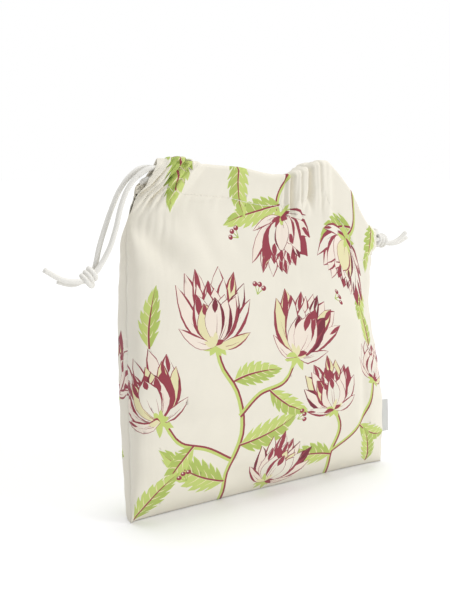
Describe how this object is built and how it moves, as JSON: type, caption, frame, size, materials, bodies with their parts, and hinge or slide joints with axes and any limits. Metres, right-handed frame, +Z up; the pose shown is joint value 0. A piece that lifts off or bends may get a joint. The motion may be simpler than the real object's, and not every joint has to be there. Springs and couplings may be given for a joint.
{
  "type": "drawstring pouch",
  "caption": "Cream printed cloth pouch, filled out and standing, with a gathered casing mouth, knotted drawcords out of both ends and a side label.",
  "frame": {"origin": "on the floor, under the middle of the bag's own box without its cords", "axes": "+Z up to the mouth, -Y the front panel that the picture shows, +X towards the side seam with the label"},
  "size_m": [0.3536, 0.0676, 0.2857],
  "materials": {
    "cream_cotton": "matte printed canvas",
    "white_braid": "matte braided cord",
    "woven_ribbon": "satin woven ribbon"
  },
  "bodies": {
    "root": {"front_panel": "cream_cotton", "back_panel": "cream_cotton", "side_label": "woven_ribbon", "drawcord_left": "white_braid", "knot_left": "white_braid", "tail_left_front": "white_braid", "tail_left_back": "white_braid", "drawcord_right": "white_braid", "knot_right": "white_braid", "tail_right_front": "white_braid", "tail_right_back": "white_braid"}
  },
  "joints": []
}
